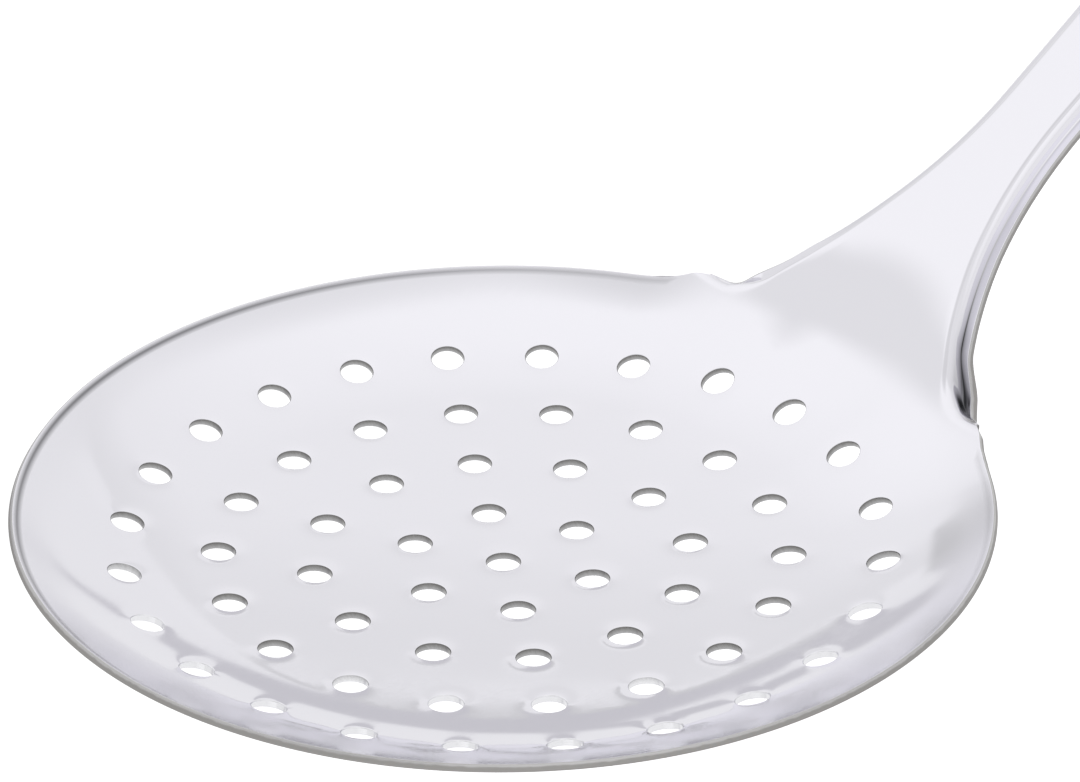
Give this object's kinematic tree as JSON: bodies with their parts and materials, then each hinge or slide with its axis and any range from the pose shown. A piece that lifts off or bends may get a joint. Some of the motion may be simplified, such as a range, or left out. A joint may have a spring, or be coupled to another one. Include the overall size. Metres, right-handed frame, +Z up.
{
  "type": "skimmer",
  "caption": "Round perforated skimmer pressed from one steel sheet, with a shallow dish that runs up into a long flanged handle and a hole to hang it by.",
  "frame": {"origin": "on the table under the middle of the skimmer's box, as it lies at rest", "axes": "+X from the dish towards the handle's end, +Z up from the table"},
  "size_m": [0.3436, 0.1204, 0.0668],
  "materials": {
    "steel": "polished stainless steel"
  },
  "bodies": {
    "root": {"skimmer": "steel"}
  },
  "joints": []
}
